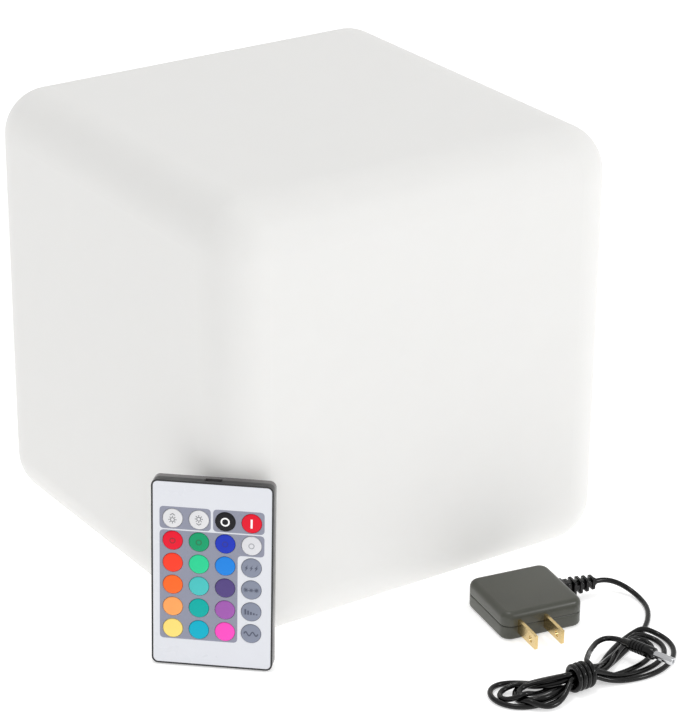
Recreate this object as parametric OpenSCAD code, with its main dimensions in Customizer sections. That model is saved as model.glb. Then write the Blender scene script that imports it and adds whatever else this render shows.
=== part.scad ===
// Floating pool light: a hollow cube of translucent plastic over a screwed-in light unit,
// with its card remote control and its plug-in charger. Millimetres, +Z up.
// The origin is the centre of the cube's underside, on the surface it stands on.

/* [Light body] */
// Width and depth of the cube
cube_w = 205; // [190:1:230]
// Height of the cube
cube_h = 202; // [190:1:230]
// Radius of the cube's rounded edges
cube_r = 21.7; // [18:0.1:26]
// Wall thickness of the moulded cube
cube_wall = 3; // [2.5:0.1:4]

/* [Light unit] */
// Radius of the round cover in the underside
cover_r = 60; // [58:0.5:62]
// Thickness of that cover
cover_t = 3.8; // [3.4:0.1:4]
// Radius of the cup that holds the battery and the boards
cup_r = 49; // [48:0.5:49]
// Height of the cup above the cover
cup_h = 50; // [48:1:56]
// Number of light chips
led_count = 12; // [6:1:16]
// How far the power button travels
button_travel = 1; // [0.6:0.1:1.2]

/* [Remote control] */
// Width of the remote's case
remote_w = 52; // [52:0.5:54]
// Height of the remote's case
remote_h = 84; // [84:0.5:87]
// Thickness of the remote's case
remote_t = 7; // [7:0.1:7.4]
// Diameter of one key
key_d = 8.4; // [8.2:0.1:8.6]
// Distance between key columns
key_pitch_x = 11.2; // [11.1:0.1:11.6]
// Distance between key rows
key_pitch_z = 10.05; // [10:0.05:10.3]
// How far the remote leans back
remote_lean = 4.7; // [4.2:0.1:4.7]
// Turn of the remote about the vertical
remote_yaw = -42; // [-43:0.5:-41]

/* [Charger] */
// Width of the charger's case
charger_w = 39; // [37:0.5:44]
// Depth of the charger's case, along the blades
charger_d = 38; // [36:0.5:40]
// Height of the charger's case as it lies
charger_h = 13; // [13:0.5:16]
// Diameter of the low-voltage cord
cord_d = 2.4; // [2:0.1:2.6]

/* [Hidden] */
KEYS = [
  "key_brighter", "key_dimmer", "key_off", "key_on",
  "key_red", "key_green", "key_blue", "key_white",
  "key_flame", "key_mint", "key_azure", "key_flash",
  "key_orange", "key_turquoise", "key_indigo", "key_strobe",
  "key_apricot", "key_teal", "key_violet", "key_fade",
  "key_yellow", "key_cyan", "key_pink", "key_smooth"
];
KEY_COLOURS = [
  "white", "white", "#2a2a2e", "#e01830",
  "#e01830", "#16a070", "#2030c0", "white",
  "#ff4030", "#2ed68c", "#1e88e8", "#9aa0ae",
  "#ff6a30", "#55c8c4", "#54407a", "#9aa0ae",
  "#ffa860", "#00b0a4", "#a858b4", "#9aa0ae",
  "#ffe080", "#00b4cc", "#ff50c0", "#9aa0ae"
];
$fn = 64;
// A hair of extra length where one cut passes through a face
cut = 0.5;

// Recess in the underside that takes the cover, and the ring it screws up against
recess_h = 5;
ring_h = 6;
ring_top = recess_h + ring_h;
opening_r = cup_r + 1;
screw_count = 6;
screw_circle_r = 55.5;
screw_r = 1.5;

// Places of the button and the charging socket in the cover
button_x = -18;
socket_x = 18;
button_r = 7;
stem_top = 9.2 - button_travel;
socket_r = 5;
bung_r = 6.4;
plug_r = 1.75;
plug_len = 9.5;

// Levels inside the light unit
cup_top = cover_t + cup_h;
board_t = 1.6;
control_z = 14;
cradle_z = 20;
cell_r = 9;
cell_len = 65;
cell_x = 10;
cell_z = cradle_z + 2 + cell_r + 0.2;

// Remote: where its foot stands, in front of the cube's upright corner
remote_foot = [-110.75, -102.1];
key_rows = 6;
key_columns = 4;
key_top_row_z = remote_h - 17;
key_hole_r = key_d / 2 + 0.2;
key_rise = 0.45;
remote_wall = 1.2;
overlay_t = 0.3;
panel_y = 0.35;
panel_t = 0.8;
split_y = 3.8;
remote_board_y = 2.3;
remote_board_t = 1;
back_wall = 0.8;
tray_w = 24;
tray_h = 26;
coin_r = 10;
coin_z = 13;

// Charger: where it lies, its turn and its details
charger_at = [29, -137.5];
charger_yaw = -10;
charger_r = 5;
charger_wall = 1.8;
blade_gap = 12.7;
blade_x = -6;
blade_w = 6.3;
blade_t = 1.5;
blade_out = 16;
blade_in = 6;
cord_exit_y = 4;
relief_len = 18;

// Hank of cord: its middle, its turn, its outline and the wraps round its waist
hank_at = [19.5, -193.5];
hank_yaw = -4;
hank_len = 94;
hank_w = 33;
hank_h = 4.8;
wrap_at = [9.5, -201.5];
wrap_len = 12.4;
wrap_w = 12.4;
wrap_h = 12.2;

// Plug on the cord's end, lying on the hank's loops
plug_at = [42.5, -194];
plug_yaw = -75;
grip_len = 13;
grip_r = 2.75;

// Route of the cord from the strain relief down to the floor and round to the hank
lead_route = [
  [66.6, -140.1, 6.5], [69.6, -140.6, 6.4], [72.7, -141.7, 5.9], [75.4, -143.5, 5],
  [77.5, -146, 3.9], [78.9, -149.1, 2.8], [79.5, -152.7, 1.9], [79.3, -156.4, 1.35],
  [78.4, -160.1, 1.2], [76.9, -163.7, 1.2], [74.8, -167.2, 1.2], [72.2, -170.5, 1.2],
  [69.2, -173.6, 1.2], [65.8, -176.5, 1.2], [61.9, -179.5, 1.2], [57.5, -182.5, 1.2]
];

function unit(v) = v / norm(v);
function tangent(p, i) = unit(p[min(i + 1, len(p) - 1)] - p[max(i - 1, 0)]);
function ring(p, i, r, sides) =
  let (t = tangent(p, i), s = unit(cross(t, [0.1, 0, 1])), u = cross(s, t))
  [for (k = [0:sides - 1]) p[i] + r * (cos(360 * k / sides) * s + sin(360 * k / sides) * u)];

// A round tube swept along points
module tube(p, r, sides = 8) {
  n = len(p);
  walls = [
    for (i = [0:n - 2], k = [0:sides - 1])
      [i * sides + k, i * sides + (k + 1) % sides,
       (i + 1) * sides + (k + 1) % sides, (i + 1) * sides + k]
  ];
  start = [for (k = [sides - 1:-1:0]) k];
  end = [for (k = [0:sides - 1]) (n - 1) * sides + k];
  polyhedron(
    points = [for (i = [0:n - 1]) each ring(p, i, r, sides)],
    faces = concat([start], walls, [end])
  );
}

// A box with every edge and corner rounded, standing on z = 0
module rounded_box(w, d, h, r) {
  x = w / 2 - r;
  y = d / 2 - r;
  for (z = [r, h - r]) {
    for (i = [-1, 1], j = [-1, 1])
      translate([i * x, j * y, z]) sphere(r);
    for (j = [-1, 1])
      translate([-x, j * y, z]) rotate([0, 90, 0]) cylinder(r = r, h = 2 * x);
    for (i = [-1, 1])
      translate([i * x, -y, z]) rotate([-90, 0, 0]) cylinder(r = r, h = 2 * y);
  }
  for (i = [-1, 1], j = [-1, 1])
    translate([i * x, j * y, r]) cylinder(r = r, h = h - 2 * r);
  translate([-x, -y, 0]) cube([2 * x, 2 * y, h]);
  translate([-w / 2, -y, r]) cube([w, 2 * y, h - 2 * r]);
  translate([-x, -d / 2, r]) cube([2 * x, d, h - 2 * r]);
}

// A rectangle with round corners, centred
module rounded_rect(w, h, r) {
  for (i = [-1, 1], j = [-1, 1])
    translate([i * (w / 2 - r), j * (h / 2 - r)]) circle(r);
  square([w - 2 * r, h], center = true);
  square([w, h - 2 * r], center = true);
}

// An upright plate of the remote: x across, z up from its foot, y the depth from y0 to y1
module card(w, h, r, y0, y1, z0 = 0) {
  translate([0, y1, z0 + h / 2]) rotate([90, 0, 0])
    linear_extrude(y1 - y0) rounded_rect(w, h, r);
}

module screw_ring() {
  for (i = [0:screw_count - 1])
    rotate(360 / screw_count * i + 30) translate([screw_circle_r, 0, 0]) children();
}

// Light body -----------------------------------------------------------------

module light_shell() color("#ecebe8") difference() {
  union() {
    difference() {
      rounded_box(cube_w, cube_w, cube_h, cube_r);
      translate([0, 0, cube_wall])
        rounded_box(cube_w - 2 * cube_wall, cube_w - 2 * cube_wall,
                    cube_h - 2 * cube_wall, cube_r - cube_wall);
    }
    translate([0, 0, 1]) cylinder(r = cover_r + 4, h = ring_top - 1);
  }
  translate([0, 0, -cut]) cylinder(r = cover_r + 0.4, h = recess_h + cut);
  cylinder(r = opening_r, h = ring_top + cut);
  screw_ring() cylinder(r = screw_r + 0.05, h = ring_top + cut);
}

module base_gasket() color("#3c3d40")
  translate([0, 0, cover_t]) difference() {
    cylinder(r = cover_r - 0.5, h = recess_h - cover_t);
    translate([0, 0, -cut]) cylinder(r = opening_r + 0.8, h = recess_h);
    screw_ring() translate([0, 0, -cut]) cylinder(r = screw_r + 0.3, h = recess_h);
  }

module base_cover() color("#dfdedb") difference() {
  union() {
    cylinder(r = cover_r, h = cover_t);
    for (i = [-1, 1], j = [-1, 1])
      translate([i * 29, j * 10, 0]) cylinder(r = 2.2, h = control_z);
    for (j = [-1, 1])
      translate([0, j * 38, 0]) cylinder(r = 3, h = cradle_z);
  }
  screw_ring() {
    translate([0, 0, -cut]) cylinder(r = screw_r + 0.2, h = cover_t + 2 * cut);
    translate([0, 0, -cut]) cylinder(r = 3.2, h = 2 + cut);
  }
  translate([button_x, 0, -cut]) cylinder(r = button_r + 0.3, h = cover_t + 2 * cut);
  translate([socket_x, 0, -cut]) cylinder(r = bung_r + 0.3, h = 2 + cut);
  translate([socket_x, 0, 0]) cylinder(r = socket_r + 0.1, h = cover_t + cut);
}

module base_screws() color("#c8c8ca") screw_ring() difference() {
  union() {
    translate([0, 0, 0.4]) cylinder(r = 2.9, h = 1.6);
    translate([0, 0, 1.6]) cylinder(r = screw_r, h = ring_top - 2.1);
  }
  for (turn = [0, 90]) rotate(turn)
    translate([-1.6, -0.35, 0]) cube([3.2, 0.7, 1.2]);
}

module module_cup() color("#f0f0ee") translate([0, 0, cover_t]) difference() {
  cylinder(r = cup_r, h = cup_h);
  translate([0, 0, -cut]) cylinder(r = cup_r - 2.5, h = cup_h - 2.5 + cut);
  cylinder(r = cup_r - 6, h = cup_h + cut);
}

module battery_cradle() color("#e4e4e2") difference() {
  union() {
    translate([0, 0, cradle_z]) cylinder(r = cup_r - 2.8, h = 2);
    for (j = [-1, 1])
      translate([-24, j * 20 - 1.5, cradle_z]) cube([48, 3, 12]);
  }
  for (i = [-1, 1])
    translate([i * cell_x, 0, cell_z]) rotate([90, 0, 0])
      cylinder(r = cell_r + 0.2, h = cell_len + 2, center = true);
  for (i = [-1, 1])
    translate([i * 34.4, 4, cradle_z - cut]) cylinder(r = 4, h = 2 + 2 * cut);
}

module battery_cells() color("#3f6fb5") for (i = [-1, 1])
  translate([i * cell_x, 0, cell_z]) rotate([90, 0, 0]) {
    cylinder(r = cell_r, h = cell_len - 2, center = true);
    translate([0, 0, i * cell_len / 2 - (i > 0 ? 1 : 0)]) cylinder(r = 3, h = 1);
  }

// Two insulated wires from the cells down through the cradle to the control board
module battery_leads() color("#b02020") for (i = [-1, 1])
  tube([
    [i * 13, 34.5, cell_z], [i * 20, 36.5, cell_z - 1], [i * 27, 34, cell_z - 2],
    [i * 31.5, 28, cell_z - 3], [i * 33.5, 20, cell_z - 4], [i * 34.2, 12, cell_z - 6],
    [i * 34.5, 6, cell_z - 9], [i * 34.4, 1.5, cell_z - 13], [i * 32, -2.5, cell_z - 14.5],
    [i * 28, -4.5, control_z + board_t + 1.2], [i * 23, -5, control_z + board_t + 1]
  ], 0.8);

module control_board() color("#1d6b45") {
  translate([-32, -13, control_z]) cube([64, 26, board_t]);
  for (i = [-1:1])
    translate([i * 14 - 4, 3, control_z + board_t]) cube([8, 6, 1.5]);
}

module power_switch() color("#26262a") {
  translate([button_x - 3, -3, control_z - 3.6]) cube([6, 6, 3.6]);
  translate([button_x, 0, control_z - 4.4]) cylinder(r = 1.7, h = 0.8);
}

module charge_socket() color("#2a2a2c") {
  difference() {
    translate([socket_x, 0, 2]) cylinder(r = socket_r, h = control_z - 2);
    translate([socket_x, 0, 2 - cut]) cylinder(r = plug_r + 0.05, h = plug_len + cut);
  }
  translate([socket_x, 0, 4]) cylinder(r = 0.6, h = plug_len);
}

module led_board() color("#f4f4f2")
  translate([0, 0, cup_top]) difference() {
    cylinder(r = cup_r - 2, h = board_t);
    translate([20, 0, -cut]) cylinder(r = 2.5, h = board_t + 2 * cut);
  }

module led_chips() color("#fff6c8") for (i = [0:led_count - 1])
  rotate(360 / led_count * i) translate([30, 0, cup_top + board_t]) difference() {
    translate([-2.5, -2.5, 0]) cube([5, 5, 1.6]);
    translate([0, 0, 1]) cylinder(r = 2, h = 1);
  }

module ir_receiver() color("#242428") translate([0, 0, cup_top + board_t]) {
  translate([-2.8, -1.3, 0]) cube([5.6, 2.6, 7]);
  translate([0, -1.3, 4.2]) sphere(2);
}

module led_lens() color("#e8f0f4", 0.5) translate([0, 0, cup_top]) difference() {
  union() {
    cylinder(r = cup_r - 0.5, h = 3);
    cylinder(r = cup_r - 4, h = 14);
  }
  translate([0, 0, -cut]) cylinder(r = cup_r - 1.8, h = 2.2 + cut);
  cylinder(r = cup_r - 5.5, h = 12.5);
}

module power_button() color("#8d9094") translate([button_x, 0, 0]) rotate_extrude()
  polygon([
    [0, 0.9], [button_r - 1.2, 0.9], [button_r, 1.7], [button_r, 4.2],
    [button_r + 1.6, 4.2], [button_r + 1.6, 5], [2.4, 5], [2.4, stem_top], [0, stem_top]
  ]);

module socket_bung() color("#4a4b4e") translate([socket_x, 0, 0]) {
  translate([0, 0, 0.4]) cylinder(r = bung_r, h = 1.5);
  translate([0, 0, 1.5]) cylinder(r = plug_r - 0.02, h = 2.2);
  translate([bung_r - 1, -1, 0.4]) cube([1.1, 2, 1.5]);
}

// Remote control -------------------------------------------------------------

// Moves its children from the remote's own axes to where it stands, leaning on the cube
module standing() {
  translate([remote_foot[0], remote_foot[1], remote_t * sin(remote_lean) + 0.05])
    rotate(remote_yaw) rotate([-remote_lean, 0, 0]) children();
}

function key_x(i) = (i % key_columns - (key_columns - 1) / 2) * key_pitch_x;
function key_z(i) = key_top_row_z - floor(i / key_columns) * key_pitch_z;

// A row-by-row place for each key's children, with the key's axis along the depth
module at_key(i, y) {
  translate([key_x(i), y, key_z(i)]) rotate([-90, 0, 0]) children();
}

module emitter_notch() {
  translate([-3.5, 1.9, remote_h - 1.4]) cube([7, 2.8, 2]);
}

module remote_front() color("#1c1d20") standing() difference() {
  card(remote_w, remote_h, 2.8, 0, split_y);
  card(remote_w - 1.4, remote_h - 1.4, 2.2, -cut, panel_y, 0.7);
  card(remote_w - 2 * remote_wall, remote_h - 2 * remote_wall, 1.8,
       panel_y + panel_t, split_y + cut, remote_wall);
  for (i = [0:key_rows * key_columns - 1])
    at_key(i, -cut) cylinder(r = key_hole_r, h = 2);
  emitter_notch();
}

module key_overlay() color("#e9ebef") standing() difference() {
  card(remote_w - 1.5, remote_h - 1.5, 2.1, panel_y - overlay_t, panel_y - 0.01, 0.75);
  for (i = [0:key_rows * key_columns - 1])
    at_key(i, -cut) cylinder(r = key_hole_r, h = 2);
}

module key_button(i) color(KEY_COLOURS[i]) standing()
  at_key(i, -key_rise) {
    cylinder(r = key_d / 2, h = key_rise + 1.25);
    translate([0, 0, key_rise + 1.2]) cylinder(r = key_d / 2 + 0.6, h = 0.4);
  }

module key_domes() color("#c9ccd0") standing()
  for (i = [0:key_rows * key_columns - 1])
    at_key(i, remote_board_y - 0.2) cylinder(r = 3.4, h = 0.2);

module remote_board() color("#2f7d4b") standing() {
  card(remote_w - 3.4, remote_h - 6, 1, remote_board_y, remote_board_y + remote_board_t, 2);
}

module ir_emitter() color("#5a5f78") standing() translate([0, 3.3, remote_h - 4]) {
  cylinder(r = 1.2, h = 2.8);
  translate([0, 0, 2.3]) sphere(1.2);
}

module remote_back() color("#232427") standing() difference() {
  card(remote_w, remote_h, 2.8, split_y, remote_t);
  card(remote_w - 2 * remote_wall, remote_h - 32, 1.8,
       split_y - cut, remote_t - back_wall, 32 - remote_wall);
  translate([-tray_w / 2 - 0.2, split_y - cut, -cut])
    cube([tray_w + 0.4, remote_t - back_wall - split_y + cut, tray_h + 1 + cut]);
  emitter_notch();
}

module cell_tray() color("#232427") standing() difference() {
  translate([-tray_w / 2, split_y + 0.05, 0.1]) cube([tray_w, 2.3, tray_h]);
  translate([0, 0, coin_z]) rotate([-90, 0, 0]) cylinder(r = coin_r + 0.1, h = 10);
}

module coin_cell() color("#c4c6c8") standing()
  translate([0, split_y + 0.1, coin_z]) rotate([-90, 0, 0])
    cylinder(r = coin_r, h = 2.2);

// Charger --------------------------------------------------------------------

// Moves its children from the charger's own axes to where it lies
module lying() {
  translate([charger_at[0], charger_at[1], 0]) rotate(charger_yaw) children();
}

module charger_hollow() {
  inner = 2 * charger_wall;
  difference() {
    linear_extrude(charger_h) rounded_rect(charger_w, charger_d, charger_r);
    translate([0, 0, charger_wall]) linear_extrude(charger_h - inner)
      rounded_rect(charger_w - inner, charger_d - inner, charger_r - charger_wall);
    for (i = [-1, 1])
      translate([blade_x + i * blade_gap / 2, -charger_d / 2, charger_h / 2])
        cube([blade_t + 0.1, charger_d, blade_w + 0.1], center = true);
    translate([0, cord_exit_y, charger_h / 2]) rotate([0, 90, 0])
      cylinder(r = 2.3, h = charger_w);
  }
}

module charger_bottom() color("#2b2b28") lying() intersection() {
  charger_hollow();
  translate([-charger_w, -charger_d, -cut])
    cube([2 * charger_w, 2 * charger_d, charger_h / 2 + cut - 0.02]);
}

module charger_top() color("#3d3e39") lying() intersection() {
  charger_hollow();
  translate([-charger_w, -charger_d, charger_h / 2 + 0.02])
    cube([2 * charger_w, 2 * charger_d, charger_h]);
}

module blade_carrier() color("#161616") lying()
  translate([blade_x, -charger_d / 2 + charger_wall, 0]) difference() {
    translate([-8.4, 0.1, charger_h / 2 - 4.6]) cube([16.8, 4.4, 9.2]);
    for (i = [-1, 1])
      translate([i * blade_gap / 2, 2, charger_h / 2])
        cube([blade_t + 0.1, 6, blade_w + 0.1], center = true);
  }

module blades() color("#c9a45a") lying() for (i = [-1, 1])
  translate([blade_x + i * blade_gap / 2, -charger_d / 2, charger_h / 2]) difference() {
    translate([-blade_t / 2, -blade_out, -blade_w / 2])
      cube([blade_t, blade_out + blade_in, blade_w]);
    translate([0, -blade_out + 4, 0]) rotate([0, 90, 0])
      cylinder(r = 1.5, h = 5, center = true);
  }

module transformer() color("#8a5a30") lying() {
  core_z = charger_wall + 2.6;
  core_h = charger_h - 2 * charger_wall - 2.8;
  translate([-12, -4, core_z]) cube([16, 12, core_h]);
  translate([-10, -5.5, core_z + 0.8]) cube([12, 15, core_h - 1.6]);
}

module charger_board() color("#2f7d4b") lying() {
  board_z = charger_wall + 1.2;
  translate([-16, -9, board_z]) cube([32, 22, 1.4]);
  for (y = [-3, 5])
    translate([10, y, board_z + 1.4]) cylinder(r = 3, h = charger_h - 2 * charger_wall - 3);
}

// Tapered boot with ribs, pushed into the case and moulded onto the cord
module strain_relief() color("#1d1d1c") lying()
  translate([charger_w / 2, cord_exit_y, charger_h / 2]) rotate([0, 90, 0]) {
    translate([0, 0, -charger_wall]) cylinder(r = 2.2, h = relief_len + charger_wall);
    for (i = [0:4])
      translate([0, 0, 2.2 + i * 3.2]) cylinder(r = 3.7 - i * 0.25, h = 1.7);
  }

module cord_lead() color("#1d1d1c") tube(lead_route, cord_d / 2);

module cord_hank() color("#1d1d1c") {
  end_x = (hank_len - hank_w) / 2;
  translate([hank_at[0], hank_at[1], 0]) rotate(hank_yaw) {
    for (i = [-1, 1]) translate([i * end_x, 0, 0]) cylinder(d = hank_w, h = hank_h);
    translate([-end_x, -hank_w / 2, 0]) cube([2 * end_x, hank_w, hank_h]);
  }
  translate([wrap_at[0] - wrap_len / 2, wrap_at[1] - wrap_w / 2, 0])
    cube([wrap_len, wrap_w, wrap_h]);
}

module plug_axes() {
  translate([plug_at[0], plug_at[1], hank_h + grip_r]) rotate(plug_yaw)
    rotate([0, 90, 0]) children();
}

module plug_grip() color("#1d1d1c") plug_axes() {
  cylinder(r = grip_r, h = grip_len);
  translate([0, 0, -4]) cylinder(r = 1.8, h = 4);
}

module plug_barrel() color("#c8c9cc") plug_axes() translate([0, 0, grip_len]) difference() {
  cylinder(r = plug_r, h = plug_len);
  translate([0, 0, 0.5]) cylinder(r = 0.7, h = plug_len);
}

light_shell();
base_gasket();
base_cover();
base_screws();
module_cup();
battery_cradle();
battery_cells();
battery_leads();
control_board();
power_switch();
charge_socket();
led_board();
led_chips();
ir_receiver();
led_lens();
power_button();
socket_bung();
remote_front();
key_overlay();
remote_board();
key_domes();
ir_emitter();
remote_back();
cell_tray();
coin_cell();
charger_bottom();
charger_top();
blade_carrier();
blades();
transformer();
charger_board();
strain_relief();
cord_lead();
cord_hank();
plug_grip();
plug_barrel();
for (i = [0:len(KEYS) - 1])
  key_button(i);
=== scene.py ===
import math

import bmesh
import bpy
import numpy as np
from mathutils import Matrix, Quaternion, Vector


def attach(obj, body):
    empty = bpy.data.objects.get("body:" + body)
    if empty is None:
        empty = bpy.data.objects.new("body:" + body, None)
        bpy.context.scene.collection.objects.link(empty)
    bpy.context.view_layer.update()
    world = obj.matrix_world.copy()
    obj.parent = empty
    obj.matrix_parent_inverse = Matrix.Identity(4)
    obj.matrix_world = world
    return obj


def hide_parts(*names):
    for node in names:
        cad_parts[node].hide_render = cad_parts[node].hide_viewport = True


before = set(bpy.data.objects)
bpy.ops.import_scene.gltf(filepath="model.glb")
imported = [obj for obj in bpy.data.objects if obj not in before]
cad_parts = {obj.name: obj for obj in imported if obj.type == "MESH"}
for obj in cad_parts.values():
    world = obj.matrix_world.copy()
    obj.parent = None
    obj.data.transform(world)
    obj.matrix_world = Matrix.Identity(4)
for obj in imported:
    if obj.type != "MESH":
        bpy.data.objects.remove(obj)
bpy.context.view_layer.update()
scene = bpy.context.scene
scene.view_settings.view_transform = "Standard"


# Camera
# A long lens a good metre away, above the cube's front left corner and looking down at it.

view_turn, view_rise, view_roll = (math.radians(a) for a in (-33.96, 23.97, 0.38))
view_aim = Vector((0.0256, 0.0046, 0.0705))
view_distance = 1.33
view_back = Vector((
    math.sin(view_turn) * math.cos(view_rise),
    -math.cos(view_turn) * math.cos(view_rise),
    math.sin(view_rise),
))
camera = bpy.data.objects.new("camera", bpy.data.cameras.new("camera"))
camera.data.lens = 142
camera.data.sensor_width = 36
camera.location = view_aim + view_back * view_distance
camera.rotation_mode = "QUATERNION"
camera.rotation_quaternion = (
    (-view_back).to_track_quat("-Z", "Y") @ Quaternion((0, 0, 1), view_roll)
)
scene.collection.objects.link(camera)
scene.camera = camera


# Floor and studio light
# A plain white floor in a bright even room, clear when seen from below so that the underside
# shows. One soft lamp stands high on the right and a weaker one overhead.

mm = 0.001
room = bpy.data.worlds.new("room")
room.use_nodes = True
room.node_tree.nodes["Background"].inputs["Color"].default_value = (1, 1, 1, 1)
room.node_tree.nodes["Background"].inputs["Strength"].default_value = 0.72
scene.world = room

floor_mesh = bpy.data.meshes.new("floor")
floor_half, floor_z = 6, -0.1 * mm
floor_corners = [
    (x * floor_half, y * floor_half, floor_z) for x, y in ((-1, -1), (1, -1), (1, 1), (-1, 1))
]
floor_mesh.from_pydata(floor_corners, [], [(0, 1, 2, 3)])
floor = bpy.data.objects.new("floor", floor_mesh)
scene.collection.objects.link(floor)
floor_paint = bpy.data.materials.new("floor_white")
floor_paint.use_nodes = True
floor_surface = floor_paint.node_tree.nodes["Principled BSDF"]
floor_surface.inputs["Base Color"].default_value = (0.9, 0.9, 0.9, 1)
floor_surface.inputs["Roughness"].default_value = 0.9
floor_surface.inputs["Specular IOR Level"].default_value = 0.1
floor_surface.inputs["Emission Color"].default_value = (1, 1, 1, 1)
floor_surface.inputs["Emission Strength"].default_value = 0.45
floor_nodes, floor_links = floor_paint.node_tree.nodes, floor_paint.node_tree.links
clear_below = floor_nodes.new("ShaderNodeMixShader")
seen_side = floor_nodes.new("ShaderNodeNewGeometry")
clear = floor_nodes.new("ShaderNodeBsdfTransparent")
floor_links.new(seen_side.outputs["Backfacing"], clear_below.inputs["Fac"])
floor_links.new(floor_surface.outputs["BSDF"], clear_below.inputs[1])
floor_links.new(clear.outputs["BSDF"], clear_below.inputs[2])
floor_links.new(clear_below.outputs["Shader"], floor_nodes["Material Output"].inputs["Surface"])
floor_mesh.materials.append(floor_paint)


def soft_lamp(name, place, size, power):
    """A round area lamp that looks at the middle of the cube."""
    lamp = bpy.data.lights.new(name, "AREA")
    lamp.shape = "DISK"
    lamp.size = size
    lamp.energy = power
    holder = bpy.data.objects.new(name, lamp)
    holder.location = place
    way = Vector((0, 0, 0.1)) - Vector(place)
    holder.rotation_euler = way.to_track_quat("-Z", "Y").to_euler()
    scene.collection.objects.link(holder)


soft_lamp("right_lamp", (0.9, -1.7, 1.2), 0.4, 9)
soft_lamp("top_lamp", (-0.1, 0.1, 2.2), 0.4, 7)


# Cube body
# One hollow moulding of translucent white polyethylene, about 3 mm thick, with large soft edges.
# The wall scatters light inside itself, and its skin is matt with very fine orange peel.
# Its faint white glow is painted light, which lightens the shade on it; the cube is no lamp.

def colour(code):
    """Six hexadecimal digits as the linear light that shaders take."""
    parts = [int(code[k:k + 2], 16) / 255 for k in (0, 2, 4)]
    return tuple(c / 12.92 if c <= 0.04045 else ((c + 0.055) / 1.055) ** 2.4 for c in parts)


def material(name, code, rough=0.4, grain=0.1, grain_size=0.4, patch=0.02, **inputs):
    """A surface with fine moulded grain and faint uneven patches, both from noise. Sizes in mm."""
    new = bpy.data.materials.new(name)
    new.use_nodes = True
    nodes, links = new.node_tree.nodes, new.node_tree.links
    surface = nodes["Principled BSDF"]
    where = nodes.new("ShaderNodeTexCoord")
    patches = nodes.new("ShaderNodeTexNoise")
    patches.inputs["Scale"].default_value = 60
    patches.inputs["Detail"].default_value = 3
    links.new(where.outputs["Object"], patches.inputs["Vector"])

    def drawn_out(low, high):
        """The patches as a value between low and high."""
        spread = nodes.new("ShaderNodeMapRange")
        limits = {"From Min": 0.3, "From Max": 0.7, "To Min": low, "To Max": high}
        for socket, value in limits.items():
            spread.inputs[socket].default_value = value
        links.new(patches.outputs["Fac"], spread.inputs["Value"])
        return spread.outputs["Result"]

    tint = nodes.new("ShaderNodeVectorMath")
    tint.operation = "SCALE"
    tint.inputs[0].default_value = colour(code)
    links.new(drawn_out(1 - patch, 1 + patch), tint.inputs["Scale"])
    links.new(tint.outputs["Vector"], surface.inputs["Base Color"])
    links.new(drawn_out(max(rough - 0.05, 0), min(rough + 0.05, 1)), surface.inputs["Roughness"])
    fine = nodes.new("ShaderNodeTexNoise")
    fine.inputs["Scale"].default_value = 1000 / grain_size
    fine.inputs["Detail"].default_value = 2
    links.new(where.outputs["Object"], fine.inputs["Vector"])
    bump = nodes.new("ShaderNodeBump")
    bump.inputs["Strength"].default_value = grain
    bump.inputs["Distance"].default_value = grain_size * 0.1 * mm
    links.new(fine.outputs["Fac"], bump.inputs["Height"])
    links.new(bump.outputs["Normal"], surface.inputs["Normal"])
    for socket, value in inputs.items():
        surface.inputs[socket.replace("_", " ")].default_value = value
    return new


def finish_node(name, surface, edge=0.0):
    """Gives a CAD node its material and, where edge isn't 0, softened edges of that size in mm."""
    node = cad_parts[name]
    node.data.materials.clear()
    node.data.materials.append(surface)
    if edge:
        bevel = node.modifiers.new("edge", "BEVEL")
        bevel.width = edge * mm
        bevel.segments = 3
        bevel.limit_method = "ANGLE"
        bevel.angle_limit = math.radians(35)
        bevel.harden_normals = True
        bevel.use_clamp_overlap = True


# Emission Strength 0.1 is a painted glow: it lightens the shadows and shade on the cube.
polyethylene_painted_glow = material(
    "polyethylene_painted_glow", "dddcd9", rough=0.5, grain=0.12, grain_size=1.6, patch=0.006,
    Subsurface_Weight=0.35, Subsurface_Scale=0.02, Subsurface_Radius=(1, 0.95, 0.85),
    Emission_Strength=0.1, Specular_IOR_Level=0.25,
)
finish_node("light_shell", polyethylene_painted_glow, edge=0.5)


# Light unit in the underside
# A round white cover in ABS held by six cross-head screws over a rubber gasket, with a rubber
# power button and a rubber bung in the charging socket. Cells and boards stand on its inside.

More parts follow.
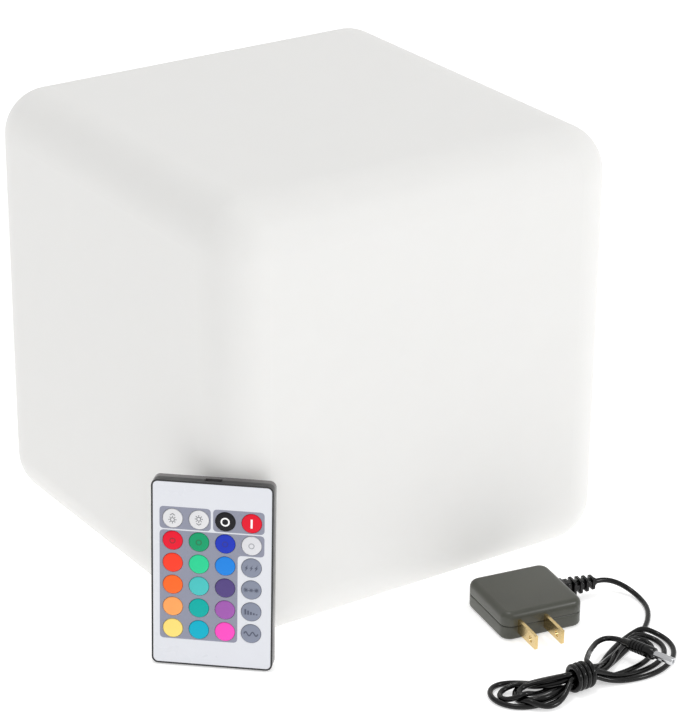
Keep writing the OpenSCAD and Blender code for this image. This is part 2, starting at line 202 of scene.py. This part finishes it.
for names, surface, edge in (
    (("base_cover",),
     material("cover_plastic", "d9d8d5", rough=0.42, grain=0.2, grain_size=0.5), 0.35),
    (("module_cup",), material("cup_plastic", "eeeeec", rough=0.45), 0.4),
    (("base_gasket",), material("gasket_rubber", "2b2c2e", rough=0.7), 0.15),
    (("base_screws",), material("screw_steel", "b9bbbe", rough=0.3, Metallic=1.0), 0.12),
    (("power_button",), material("button_silicone", "85888c", rough=0.6), 0.2),
    (("socket_bung",), material("bung_rubber", "3c3d40", rough=0.65), 0.15),
    (("battery_cradle",), material("cradle_plastic", "26272a", rough=0.5), 0.3),
    (("battery_cells",), material("cell_wrap", "2f78b8", rough=0.3, Coat_Weight=0.4), 0.4),
    (("battery_leads",), material("lead_insulation", "b02020", rough=0.4), 0),
    (("control_board", "remote_board", "charger_board"),
     material("solder_mask", "1d6b45", rough=0.3, Coat_Weight=0.5), 0.1),
    (("power_switch",), material("switch_black", "26262a", rough=0.45), 0.15),
    (("charge_socket",), material("socket_black", "202022", rough=0.4), 0.15),
    (("led_board",), material("led_board_white", "f2f2ef", rough=0.4), 0.1),
    (("led_chips",), material("chip_resin", "f0d890", rough=0.15, Coat_Weight=0.6), 0.15),
    (("ir_receiver",), material("receiver_epoxy", "18181c", rough=0.15, Coat_Weight=0.6), 0.3),
    (("led_lens",), material("lens_clear", "f4f6f6", rough=0.12, Transmission_Weight=0.8), 0.4),
):
    for name in names:
        finish_node(name, surface, edge=edge)


# Remote control case
# Two ABS halves that meet in a fine groove, the front one black and the back one dark grey,
# a painted highlight for the overhead light on the top edge. The front has a thin raised rim
# round the film; a notch in the top edge lets the emitter look out.

remote_turn, remote_lean, remote_t = math.radians(-42), math.radians(4.7), 7
remote_place = (
    Matrix.Scale(mm, 4)
    @ Matrix.Translation((-110.75, -102.1, remote_t * math.sin(remote_lean) + 0.05))
    @ Matrix.Rotation(remote_turn, 4, "Z")
    @ Matrix.Rotation(-remote_lean, 4, "X")
)
case_black = material("remote_abs", "18181b", rough=0.32, grain=0.2, grain_size=0.5)
# The back half's dark grey is painted light: it stands for overhead light falling on the remote's
# top edge.
case_grey_painted_light = material(
    "remote_abs_grey_painted_light", "5c595a", rough=0.3, grain=0.2, grain_size=0.5, Coat_Weight=0.4,
)
finish_node("remote_front", case_black, edge=0.28)
finish_node("remote_back", case_grey_painted_light, edge=0.35)
finish_node("cell_tray", case_grey_painted_light, edge=0.2)
finish_node("ir_emitter", material("emitter_epoxy", "2a2b3a", rough=0.1, Coat_Weight=0.8))
finish_node("coin_cell", material("cell_steel", "c4c6c8", rough=0.25, Metallic=1.0), edge=0.2)
finish_node("key_domes", material("dome_steel", "c9ccd0", rough=0.25, Metallic=1.0))


# Printed film on the remote
# A light grey polyester film glued inside the rim, with holes for the keys. Three darker grey
# fields are printed on it behind the colour keys and the four keys of the top row.

key_pitch_x, key_pitch_z, top_row_z = 11.2, 10.05, 67
key_places = [((k % 4 - 1.5) * key_pitch_x, top_row_z - k // 4 * key_pitch_z) for k in range(24)]


def facing(x, z, y):
    """From flat artwork to the remote's face at x and z, with its front pointing outwards."""
    return remote_place @ Matrix.Translation((x, y, z)) @ Matrix.Rotation(math.radians(90), 4, "X")


def circle(r, x=0, y=0, steps=48):
    turns = [2 * math.pi * k / steps for k in range(steps)]
    return [(x + r * math.cos(t), y + r * math.sin(t)) for t in turns]


def rounded(points, r):
    """A closed outline with its corners rounded to r."""
    ring, steps = [], 6
    for k, corner in enumerate(points):
        corner = Vector(corner)
        before = (Vector(points[k - 1]) - corner).normalized()
        after = (Vector(points[(k + 1) % len(points)]) - corner).normalized()
        for step in range(steps + 1):
            t = step / steps
            a, b = corner + before * r, corner + after * r
            ring.append(tuple(a * (1 - t) ** 2 + corner * 2 * t * (1 - t) + b * t**2))
    return ring


def flat(outlines, low, high):
    """A flat plate between two levels. Outlines inside other outlines are holes."""
    curve = bpy.data.curves.new("plate", "CURVE")
    curve.dimensions = "2D"
    curve.fill_mode = "BOTH"
    curve.extrude = (high - low) / 2
    for outline in outlines:
        spline = curve.splines.new("POLY")
        spline.points.add(len(outline) - 1)
        for spot, (x, y) in zip(spline.points, outline):
            spot.co = (x, y, 0, 1)
        spline.use_cyclic_u = True
    holder = bpy.data.objects.new("plate", curve)
    mesh = bpy.data.meshes.new_from_object(holder)
    mesh.transform(Matrix.Translation((0, 0, (low + high) / 2)))
    bpy.data.objects.remove(holder)
    return mesh


def piece(name, parts, body, slot, *nodes):
    """One object from (mesh, place, material) parts, standing for the CAD nodes given."""
    gathered, surfaces = bmesh.new(), []
    for mesh, place, surface in parts:
        mesh.transform(place)
        count = len(gathered.faces)
        gathered.from_mesh(mesh)
        if surface not in surfaces:
            surfaces.append(surface)
        gathered.faces.ensure_lookup_table()
        for face in gathered.faces[count:]:
            face.material_index = surfaces.index(surface)
            face.smooth = True
    bmesh.ops.recalc_face_normals(gathered, faces=gathered.faces)
    whole = bpy.data.meshes.new(name)
    gathered.to_mesh(whole)
    gathered.free()
    for surface in surfaces:
        whole.materials.append(surface)
    whole.set_sharp_from_angle(angle=math.radians(35))
    new = bpy.data.objects.new(name, whole)
    scene.collection.objects.link(new)
    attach(new, body)
    if nodes:
        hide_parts(*nodes)


film_white = material("film_white", "e0e2e8", rough=0.3, grain=0.05, grain_size=0.4, patch=0.01)
field_grey = material("field_grey", "8c8fa1", rough=0.3, grain=0.05, grain_size=0.4, patch=0.01)
finish_node("key_overlay", film_white)
hole_r, field_corner_r, ink_t, film_y = 4.4, 1.9, 0.03, 0.05
# The outline of each field and the numbers of the keys that stand in it
fields = (
    ([(-22.4, 62.2), (-0.6, 62.2), (-0.6, 72.2), (-22.4, 72.2)], (0, 1)),
    ([(0.4, 62.2), (22.2, 62.2), (22.2, 72.2), (0.4, 72.2)], (2, 3)),
    ([(-22.4, 11.9), (10.9, 11.9), (10.9, 52), (22.2, 52), (22.2, 61.6), (-22.4, 61.6)],
     [k for k in range(4, 24) if k == 7 or k % 4 < 3]),
)
for number, (field, keys) in enumerate(fields, 1):
    outlines = [rounded(field, field_corner_r)] + [circle(hole_r, *key_places[k], 64) for k in keys]
    print_plate = (flat(outlines, 0, ink_t), facing(0, 0, film_y), field_grey)
    piece(f"key_field_{number}", [print_plate], "remote", "overlay_film")


# Keys
# Twenty-four round silicone caps with softly domed tops, each pressed from its own colour. The
# marks on them are plain signs in place of words and letters.

def turned(profile, steps=64):
    """A round piece from (radius, height) pairs, closed where the radius is 0."""
    vertices, rings, faces = [], [], []
    for r, z in profile:
        count = 1 if r == 0 else steps
        rings.append(range(len(vertices), len(vertices) + count))
        for k in range(count):
            t = 2 * math.pi * k / steps
            vertices.append((r * math.cos(t), r * math.sin(t), z))
    for a, b in zip(rings, rings[1:]):
        for k in range(steps):
            n = (k + 1) % steps
            if len(a) == 1:
                faces.append((a[0], b[k], b[n]))
            elif len(b) == 1:
                faces.append((a[k], b[0], a[n]))
            else:
                faces.append((a[k], b[k], b[n], a[n]))
    mesh = bpy.data.meshes.new("turned")
    mesh.from_pydata(vertices, [], faces)
    return mesh


def bar(x0, y0, x1, y1, w):
    """The outline of a straight stroke."""
    a, b = Vector((x0, y0)), Vector((x1, y1))
    side = (b - a).normalized().orthogonal() * w / 2
    return [tuple(a + side), tuple(a - side), tuple(b - side), tuple(b + side)]


def stroke(points, w):
    """The outline of a bent stroke through several points."""
    spots = [Vector(p) for p in points]
    sides = []
    for k in range(len(spots)):
        way = (spots[min(k + 1, len(spots) - 1)] - spots[max(k - 1, 0)]).normalized()
        sides.append(way.orthogonal() * w / 2)
    there = [tuple(p + s) for p, s in zip(spots, sides)]
    return there + [tuple(p - s) for p, s in zip(spots, sides)][::-1]


fine_line = 0.34


def sun(y):
    """A small ring with eight rays."""
    signs = [circle(1, 0, y, 24), circle(0.68, 0, y, 24)]
    for k in range(8):
        a, b = math.cos(math.pi / 4 * k), math.sin(math.pi / 4 * k)
        signs.append(bar(1.2 * a, y + 1.2 * b, 1.7 * a, y + 1.7 * b, fine_line))
    return signs


def shifted(points, x, size=1.0):
    """The same outline, made larger or smaller and moved to x."""
    return [(x + size * a, size * b) for a, b in points]


brighter_sign = sun(-0.5) + [stroke([(-1, 1.5), (0, 2.2), (1, 1.5)], fine_line)]
dimmer_sign = sun(0.5) + [stroke([(-1, -1.5), (0, -2.2), (1, -1.5)], fine_line)]
off_sign = [circle(1.95), circle(1.3)]
on_sign = [bar(0, -2, 0, 2, 0.85)]
ring_sign = [circle(1.3, steps=32), circle(0.9, steps=32)]
bolt = [(0.55, 1.25), (-0.65, -0.1), (-0.1, -0.1), (-0.55, -1.25), (0.65, 0.15), (0.1, 0.15)]
star = [
    ((1.15 if k % 2 == 0 else 0.5) * math.cos(math.pi * k / 8),
     (1.15 if k % 2 == 0 else 0.5) * math.sin(math.pi * k / 8))
    for k in range(16)
]
bolt_sign = [shifted(bolt, x, 1.15) for x in (-2.1, 0, 2.1)]
star_sign = [shifted(star, x) for x in (-2.2, 0, 2.2)]
steps_sign = [bar(1.2 * k - 2.4, -1.2, 1.2 * k - 2.4, 1.2 - 0.5 * k, 0.75) for k in range(5)]
wave_x = [x / 6 - 3 for x in range(37)]
wave_sign = [stroke([(x, 0.85 * math.sin(x * math.pi / 1.5)) for x in wave_x], 0.55)]
key_list = (
    ("key_brighter", "e2e2e4", brighter_sign, "6a6c72"),
    ("key_dimmer", "e2e2e4", dimmer_sign, "6a6c72"),
    ("key_off", "1a1a1e", off_sign, "ffffff"), ("key_on", "e8122e", on_sign, "ffffff"),
    ("key_red", "ec1030", ring_sign, "8c1020"), ("key_green", "10a06c", ring_sign, "0c6a3c"),
    ("key_blue", "2038bc", ring_sign, "141c8c"), ("key_white", "e0e0e4", ring_sign, "a4a6ac"),
    ("key_flame", "ff4028", None, None), ("key_mint", "2cd496", None, None),
    ("key_azure", "2086e4", None, None), ("key_flash", "8a90a2", bolt_sign, "50566a"),
    ("key_orange", "ff6c28", None, None), ("key_turquoise", "4cc4c2", None, None),
    ("key_indigo", "564682", None, None), ("key_strobe", "8a90a2", star_sign, "50566a"),
    ("key_apricot", "ffa860", None, None), ("key_teal", "00aea6", None, None),
    ("key_violet", "a25cb0", None, None), ("key_fade", "8a90a2", steps_sign, "50566a"),
    ("key_yellow", "ffe27c", None, None), ("key_cyan", "00b2cc", None, None),
    ("key_pink", "ff50c4", None, None), ("key_smooth", "8a90a2", wave_sign, "50566a"),
)
cap_r, flange_r, cap_rise = 4.2, 4.8, 0.45
cap_profile = [(0, -1.6), (flange_r, -1.6), (flange_r, -1.2), (cap_r, -1.2), (cap_r, 0)]
for t in np.radians([20, 40, 60, 80]):
    cap_profile.append((cap_r - 0.3 * (1 - math.cos(t)), 0.24 * math.sin(t)))
cap_profile += [(r, cap_rise - 0.2 * (r / 4) ** 2) for r in (3.6, 3.1, 2.5, 1.8, 1, 0)]
for (name, code, sign, sign_code), (x, z) in zip(key_list, key_places):
    rubber = material(
        "rubber_" + name[4:], code, rough=0.5, grain=0.1, grain_size=0.3, Specular_IOR_Level=0.2,
    )
    parts = [(turned(cap_profile), facing(x, z, 0), rubber)]
    if sign:
        print_ink = material("ink_" + name[4:], sign_code, rough=0.5)
        parts.append((flat(sign, cap_rise - 0.1, cap_rise + 0.01), facing(x, z, 0), print_ink))
    piece(name + "_cap", parts, name, name, name)


# Charger case
# Two moulded halves in dark grey ABS with a fine spark finish and broad soft edges, glued along
# a groove half way up. It lies on the surface with its blades towards the front.

def tray(w, d, r, levels):
    """Closed loops of a rounded rectangle at (inset, height) levels, skinned and capped."""
    vertices, faces, steps = [], [], 8
    for inset, z in levels:
        a, b, c = w / 2 - inset, d / 2 - inset, max(r - inset, 0.3)
        for quarter in range(4):
            x, y = (a - c) * (1, -1, -1, 1)[quarter], (b - c) * (1, 1, -1, -1)[quarter]
            for k in range(steps + 1):
                t = math.pi / 2 * (quarter + k / steps)
                vertices.append((x + c * math.cos(t), y + c * math.sin(t), z))
    n = 4 * (steps + 1)
    for level in range(len(levels) - 1):
        for k in range(n):
            m = (k + 1) % n
            faces.append((level * n + k, level * n + m, (level + 1) * n + m, (level + 1) * n + k))
    faces.append(tuple(range(n))[::-1])
    faces.append(tuple(range((len(levels) - 1) * n, len(levels) * n)))
    mesh = bpy.data.meshes.new("tray")
    mesh.from_pydata(vertices, [], faces)
    return mesh


charger_w, charger_d, charger_h, charger_corner_r, charger_wall = 39, 38, 13, 5, 1.8
charger_place = (
    Matrix.Scale(mm, 4)
    @ Matrix.Translation((29, -137.5, 0))
    @ Matrix.Rotation(math.radians(-10), 4, "Z")
)
# Edge radius of each half, and its levels from the inside round the groove to the outer face
top_r, foot_r = 3, 1.6
upper = [
    (charger_wall, charger_h - charger_wall), (charger_wall, 6.62), (0.25, 6.62), (0.05, 6.85),
    (0, 7.1),
]
lower = [(charger_wall, charger_wall), (charger_wall, 6.42), (0.25, 6.42), (0.05, 6.2), (0, 5.9)]
for t in np.radians([0, 15, 30, 45, 60, 75, 90]):
    upper.append((top_r * (1 - math.cos(t)), charger_h - top_r * (1 - math.sin(t))))
    lower.append((foot_r * (1 - math.cos(t)), foot_r * (1 - math.sin(t))))
charger_skin = material("charger_abs", "42433b", rough=0.34, grain=0.35, grain_size=0.5, patch=0.1)
for name, levels, node in (
    ("charger_upper_half", upper, "charger_top"), ("charger_lower_half", lower, "charger_bottom"),
):
    half = tray(charger_w, charger_d, charger_corner_r, levels)
    piece(name, [(half, charger_place, charger_skin)], "charger", "charger_black", node)
finish_node("blade_carrier", material("carrier_plastic", "161616", rough=0.5), edge=0.3)
finish_node("transformer", material("transformer_tape", "8a5a30", rough=0.5), edge=0.3)


# Mains blades
# Two flat stamped brass blades with eased edges and a hole near the tip, moulded into a carrier.

blade_brass = material("blade_brass", "dcc28a", rough=0.22, grain=0.2, grain_size=0.6, Metallic=1.0)
finish_node("blades", blade_brass, edge=0.3)


# Strain relief
# A tapered black PVC boot moulded on the cord: a square root block, then ribs joined by webs.

pvc_black = material(
    "pvc_black", "060606", rough=0.2, grain=0.1, grain_size=0.5, Specular_IOR_Level=0.32,
)
relief_place = (
    charger_place
    @ Matrix.Translation((charger_w / 2, 4, charger_h / 2))
    @ Matrix.Rotation(math.radians(90), 4, "Y")
)
rib_pitch, rib_taper, web_t = 3.2, 0.45, 2.4
# Height, width and the two ends of the flange, the root block and the four ribs
relief_plates = [(6.6, 6.6, -0.6, 0.3), (7.3, 7.3, 0.3, 1.9), (6.4, 6, 1.9, 4.4)]
relief_parts = []
for k in range(4):
    rib_w, web_w = 6.9 - rib_taper * k, 6 - rib_taper * k
    relief_plates.append((rib_w, rib_w, 5.6 + rib_pitch * k, 7 + rib_pitch * k))
    web_start, web_end = (3.9 if k == 0 else 4.1 + rib_pitch * k), 5.9 + rib_pitch * k
    h, w = (web_w, web_t) if k % 2 == 0 else (web_t, web_w)
    relief_parts.append((tray(h, w, 0.6, [(0, web_start), (0, web_end)]), relief_place, pvc_black))
for h, w, low, high in relief_plates:
    levels = [(0.25, low), (0.07, low + 0.07), (0, low + 0.25)]
    levels += [(0, high - 0.25), (0.07, high - 0.07), (0.25, high)]
    relief_parts.append((tray(h, w, 1, levels), relief_place, pvc_black))
relief_core = [(0, -1.8), (2.1, -1.8), (2.1, 16.4), (1.95, 17.4), (1.6, 18), (0, 18)]
relief_parts.append((turned(relief_core, 40), relief_place, pvc_black))
piece("strain_relief_moulded", relief_parts, "charger", "cord_pvc", "strain_relief")


# Low-voltage cord
# Thin two-core lead in black PVC. It leaves the strain relief, sinks to the floor in one arc and
# is wound into a bow of loops, with its own end wrapped round the waist.

# Sizes and points are in mm, and angles in degrees
cord_d = 2.4
waist = (9.5, -201.5, 6.07)
waist_half = 6.2
run_spread = 2.5
wrap_r, wrap_first_x, wrap_pitch = 4.93, -4.25, 2.45
wrap_start, wrap_end, wrap_step = -80, 1171, 15
lead_route = [
    (66.6, -140.1, 6.5), (69.6, -140.6, 6.4), (72.7, -141.7, 5.9), (75.4, -143.5, 5),
    (77.5, -146, 3.9), (78.9, -149.1, 2.8), (79.5, -152.7, 1.9), (79.3, -156.4, 1.35),
    (78.4, -160.1, 1.2), (76.9, -163.7, 1.2), (74.8, -167.2, 1.2), (72.2, -170.5, 1.2),
    (69.2, -173.6, 1.2), (65.8, -176.5, 1.2), (61.9, -179.5, 1.2), (57.5, -182.5, 1.2),
]
lead_in = [(48.5, -187, 1.2), (39, -191, 1.4), (28, -196, 2.6)]
# Where each of the seven runs through the waist lies round its middle; the last is in the middle
run_turns = (330, 210, 30, 150, 90, 270, None)
# One row of points for each loop, left and right by turns, from the outermost inwards
loops = [
    [(-4, -192, 3), (-13.5, -182.5, 1.2), (-21.5, -180.5, 1.2), (-27.5, -186.5, 1.2),
     (-27, -196, 1.2), (-20, -203, 1.2), (-8, -205, 2.4)],
    [(27, -208, 2.6), (39, -211, 1.2), (51, -209, 1.2), (60.5, -203, 1.2), (65.5, -195, 1.4),
     (66.2, -186.5, 2.8), (61.5, -180.2, 3.9), (52, -180, 3.8), (39, -186, 4.6), (27, -194, 6)],
    [(-2.5, -194.2, 4.4), (-9.5, -188, 3), (-16, -188, 2.4), (-19.3, -195, 2.6),
     (-18.5, -204, 3.8), (-12.5, -209.8, 2.4), (-4, -208.4, 4)],
    [(27, -205.5, 5), (40, -206.5, 2.6), (52, -204, 1.6), (60, -197.5, 1.8),
     (62.5, -189.5, 1.6), (58, -183.4, 3.2), (49.5, -183.6, 4), (38, -188.6, 5),
     (26.5, -196, 7)],
    [(-2.5, -198.4, 8), (-9, -193, 6.8), (-15.8, -190.8, 5.2), (-20.2, -196.6, 4.2),
     (-16.8, -203.2, 3), (-8.5, -204.8, 3), (-2, -203.2, 3.4)],
    [(27, -202.8, 2.2), (38, -202.6, 1.4), (48.6, -200, 1.2), (56, -195, 1.2),
     (58.4, -189, 1.6), (54.4, -184.6, 2.6), (47, -186, 4), (37, -191.6, 5), (27, -198.4, 6)],
    [(-5, -196.8, 6.4), (-13, -189, 6.4), (-19.5, -185.8, 4.8), (-25, -188.4, 2.6),
     (-25.9, -194.8, 2), (-20.5, -199.6, 3.4), (-12, -199.2, 5.8), (-6, -196.6, 4.2),
     (-0.8, -195, 1.8), (3.2, -196.2, 1.22), (4.9, -199.2, 1.22)],
]
tail_route = [
    (14.6, -199.3, 10.8), (17.8, -195.8, 10), (22.6, -191, 8.3), (27.6, -186.9, 7.1),
    (32.2, -184.1, 6.8), (36.8, -183.4, 6.9), (39.5, -185.3, 7.2), (41, -188.2, 7.5),
    (41.5, -190.1, 7.55),
]
# The plug on the cord's end, which the loops lie clear of: where its boot starts, the way it points
plug_turn = math.radians(-75)
plug_tail = np.array(tail_route[-1])
plug_way = np.array((math.cos(plug_turn), math.sin(plug_turn), 0))
boot_len, grip_end, plug_len = 4, 17, 26.5
boot_r, grip_r, barrel_r = 1.8, 2.75, 1.75


def resample(points, step):
    """Points at even steps along a smooth curve through the given ones."""
    p = np.array(points, float)
    p = np.vstack([2 * p[0] - p[1], p, 2 * p[-1] - p[-2]])
    t = np.linspace(0, 1, 12, endpoint=False)[:, None]
    spans = [
        0.5 * (2 * b + (c - a) * t + (2 * a - 5 * b + 4 * c - d) * t**2
               + (3 * b - a - 3 * c + d) * t**3)
        for a, b, c, d in zip(p, p[1:], p[2:], p[3:])
    ]
    fine = np.vstack([*spans, p[-2:-1]])
    run = np.concatenate([[0], np.cumsum(np.linalg.norm(np.diff(fine, axis=0), axis=1))])
    even = np.linspace(0, run[-1], max(3, round(run[-1] / step) + 1))
    return np.stack([np.interp(even, run, fine[:, k]) for k in range(3)], axis=1)


def wound_hank():
    """The rough centreline of the whole cord, and which of its points stay where they are."""
    points = lead_route + lead_in
    held = [True] * len(lead_route) + [False] * len(lead_in)
    for k, turn in enumerate(run_turns):
        side = 1 if k % 2 == 0 else -1
        reach = 0 if turn is None else run_spread
        angle = math.radians(turn or 0)
        for f in (1, 0, -1):
            points.append((
                waist[0] + side * waist_half * f,
                waist[1] + reach * math.cos(angle),
                waist[2] + reach * math.sin(angle),
            ))
        points += loops[k]
        held += [True] * 3 + [False] * len(loops[k])
    for angle in np.radians(np.arange(wrap_start, wrap_end, wrap_step)):
        points.append((
            waist[0] + wrap_first_x + (angle + math.pi / 2) / (2 * math.pi) * wrap_pitch,
            waist[1] - wrap_r * math.cos(angle),
            waist[2] + wrap_r * math.sin(angle),
        ))
        held.append(True)
    return np.array(points + tail_route, float), np.array(held + [True] * len(tail_route))


def settle(p, held):
    """Lets the free stretches sink and push apart until no two lie in each other."""
    rounds, last_rounds = 230, 40
    sink, pull_home, push_gain = 0.06, 0.09, 1.5
    straighten, straighten_last = np.array((0.3, 0.3, 0.45)), np.array((0.12, 0.12, 0.2))
    lean = np.array((1, 1, 2.5))
    apart, plug_gap = cord_d * 1.01, 0.05
    home, free = p.copy(), ~held
    one, two = np.triu_indices(len(p), k=4)
    lively = free[one] | free[two]
    one, two = one[lively], two[lively]
    for k in range(rounds):
        ending = k > rounds - last_rounds
        if not ending:
            p[free, 2] -= sink
            p[free, :2] += pull_home * (home - p)[free, :2]
        middle = (p[:-2] + p[2:]) / 2 - p[1:-1]
        ease = straighten_last if ending else straighten
        p[1:-1][free[1:-1]] += (middle * ease)[free[1:-1]]
        for _ in range(2):
            gap = p[one] - p[two]
            far = np.linalg.norm(gap, axis=1)
            near = far < apart
            a, b = one[near], two[near]
            way = gap[near] * lean
            way /= np.maximum(np.linalg.norm(way, axis=1), 1e-6)[:, None]
            push = way * (apart - far[near])[:, None]
            share = np.maximum(free[a].astype(float) + free[b], 1)
            total, count = np.zeros_like(p), np.zeros(len(p))
            np.add.at(total, a, push * (free[a] / share)[:, None])
            np.add.at(total, b, -push * (free[b] / share)[:, None])
            np.add.at(count, a, 1)
            np.add.at(count, b, 1)
            total /= np.sqrt(np.maximum(count, 1))[:, None]
            spread = total.copy()
            spread[1:-1] = total[:-2] * 0.25 + total[1:-1] * 0.5 + total[2:] * 0.25
            p[free] += spread[free] * push_gain
        along = np.clip((p - plug_tail) @ plug_way, 0, plug_len)
        off = p - (plug_tail + along[:, None] * plug_way)
        plug_r = np.where(along < boot_len, boot_r, np.where(along < grip_end, grip_r, barrel_r))
        need = plug_r + cord_d / 2 + plug_gap
        far = np.linalg.norm(off, axis=1)
        hit = free & (far < need)
        way = off * lean / np.maximum(np.linalg.norm(off * lean, axis=1), 1e-6)[:, None]
        p[hit] += (way * (need - far)[:, None])[hit]
        p[free, 2] = np.maximum(p[free, 2], cord_d / 2)
    return p


rough, rough_held = wound_hank()
cord_line = resample(rough, 2)
# A point of the even line is held where it lies this near to a held rough point
held_reach = 1.7
cord_held = np.array([
    np.linalg.norm(rough[rough_held] - q, axis=1).min() < held_reach for q in cord_line
])
cord_held[[0, -1]] = True
cord_line = resample(settle(cord_line, cord_held), 1) * mm

cord_curve = bpy.data.curves.new("cord", "CURVE")
cord_curve.dimensions = "3D"
cord_curve.bevel_depth = cord_d / 2 * mm
cord_curve.bevel_resolution = 5
cord_spline = cord_curve.splines.new("POLY")
cord_spline.points.add(len(cord_line) - 1)
for spot, where in zip(cord_spline.points, cord_line):
    spot.co = (*where, 1)
cord_spline.use_smooth = True
cord = bpy.data.objects.new("charger_cord", cord_curve)
scene.collection.objects.link(cord)
cord_curve.materials.append(pvc_black)
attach(cord, "charger")
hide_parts("cord_lead", "cord_hank")


# Plug on the cord's end
# A ribbed black grip moulded over a nickel-plated barrel plug, lying on the loops of the hank.

plug_place = (
    Matrix.Scale(mm, 4)
    @ Matrix.Translation((42.5, -194, 7.55))
    @ Matrix.Rotation(plug_turn, 4, "Z")
    @ Matrix.Rotation(math.radians(90), 4, "Y")
)
skin_r, groove_r, groove_pitch = 2.7, 2.3, 1.5
grip_profile = [(0, -4), (1.3, -4), (1.6, -3.8), (1.75, -3.4), (1.8, -0.6)]
grip_profile += [(2.1, 0), (2.55, 0.1), (skin_r, 0.4)]
for k in range(5):
    for r, z in ((skin_r, 1.2), (groove_r, 1.45), (groove_r, 1.85), (skin_r, 2.1)):
        grip_profile.append((r, z + k * groove_pitch))
grip_profile += [(skin_r, 12.4), (2.55, 12.8), (2.2, 13), (0, 13)]
plug_grip = (turned(grip_profile, 48), plug_place, pvc_black)
piece("plug_grip_moulded", [plug_grip], "charger", "cord_pvc", "plug_grip")

nickel = material("plug_nickel", "c9cacc", rough=0.14, grain=0.1, grain_size=0.4, Metallic=1.0)
insulator = material("plug_insulator", "18181a", rough=0.4)
barrel_profile = [
    (0.7, 13.6), (0.7, 22.3), (0.8, 22.5), (1.55, 22.5), (1.7, 22.35), (1.75, 22.1), (1.75, 13),
    (1.2, 13),
]
insulator_profile = [(0, 20.9), (0.69, 20.9), (0.69, 13.7), (0, 13.7)]
piece("plug_barrel_turned", [
    (turned(barrel_profile, 48), plug_place, nickel),
    (turned(insulator_profile, 32), plug_place, insulator),
], "charger", "plug_nickel", "plug_barrel")

bpy.context.view_layer.update()
